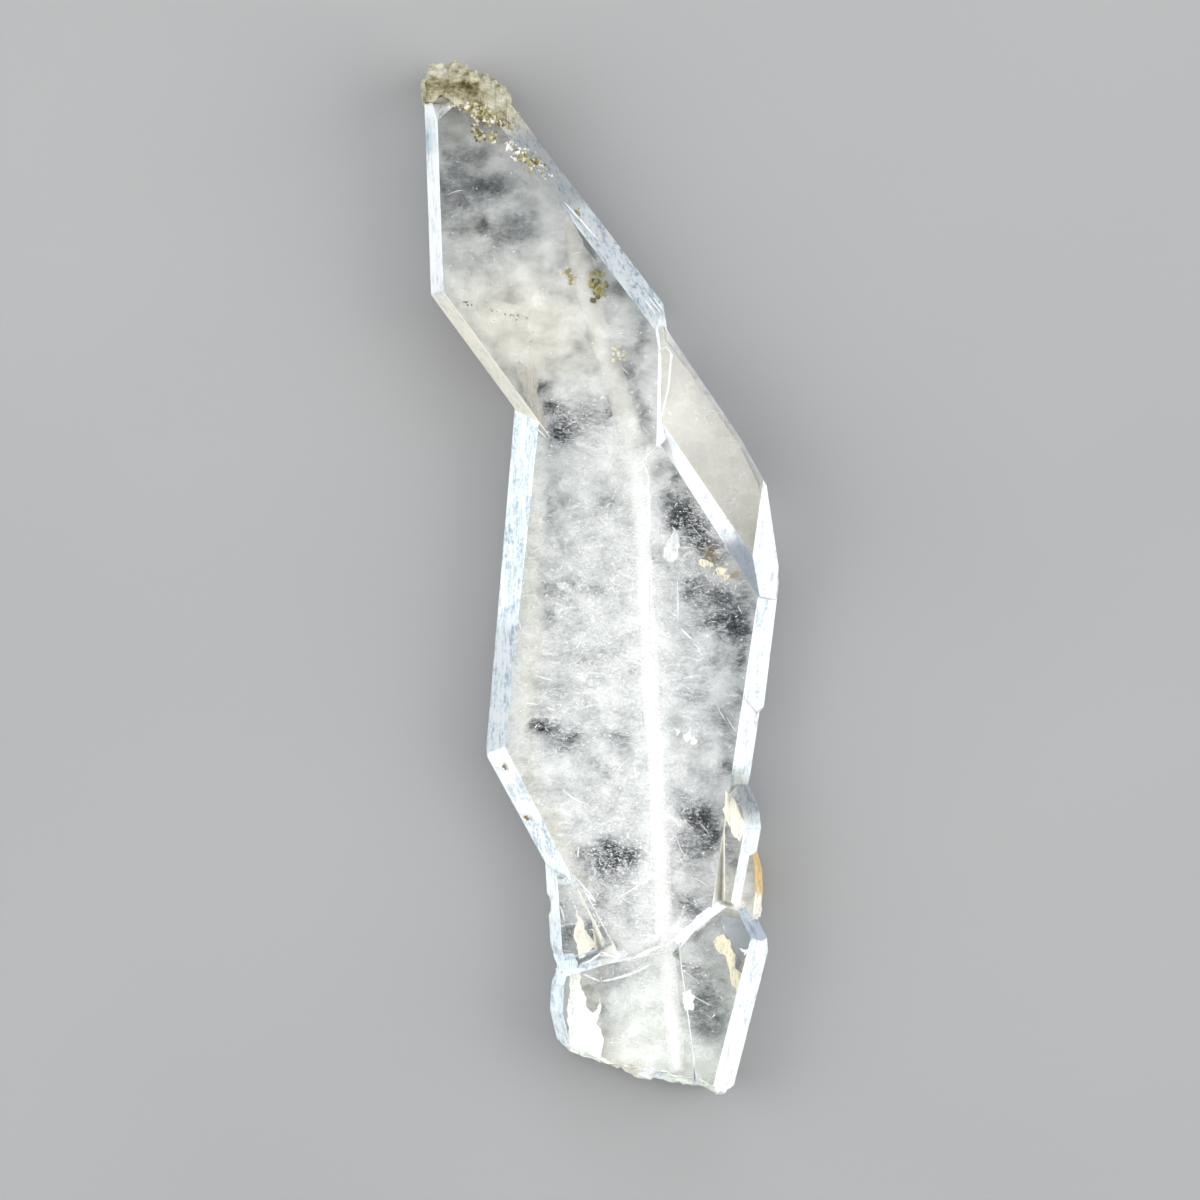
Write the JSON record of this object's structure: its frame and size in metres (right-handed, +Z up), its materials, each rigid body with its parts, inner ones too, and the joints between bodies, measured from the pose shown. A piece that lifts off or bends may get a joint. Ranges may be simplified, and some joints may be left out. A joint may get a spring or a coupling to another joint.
{
  "type": "faden quartz specimen",
  "caption": "Flat cluster of clear, partly milky quartz crystals grown along a white faden thread, with a green-brown crust on the tip; lies on its back as a display specimen.",
  "frame": {"origin": "on the resting plane, below the centre of the outline", "axes": "+Z up out of the broad front faces, +Y along the group towards the crusted tip, +X to the right seen from above"},
  "size_m": [0.0244, 0.0702, 0.0066],
  "materials": {
    "quartz": "polished natural crystal faces with fine growth striations",
    "faden_thread": "dense white fluid inclusions",
    "chlorite_crust": "dull granular crust"
  },
  "bodies": {
    "root": {"quartz": "quartz", "faden_thread": "faden_thread", "chlorite_crust": "chlorite_crust"}
  },
  "joints": []
}
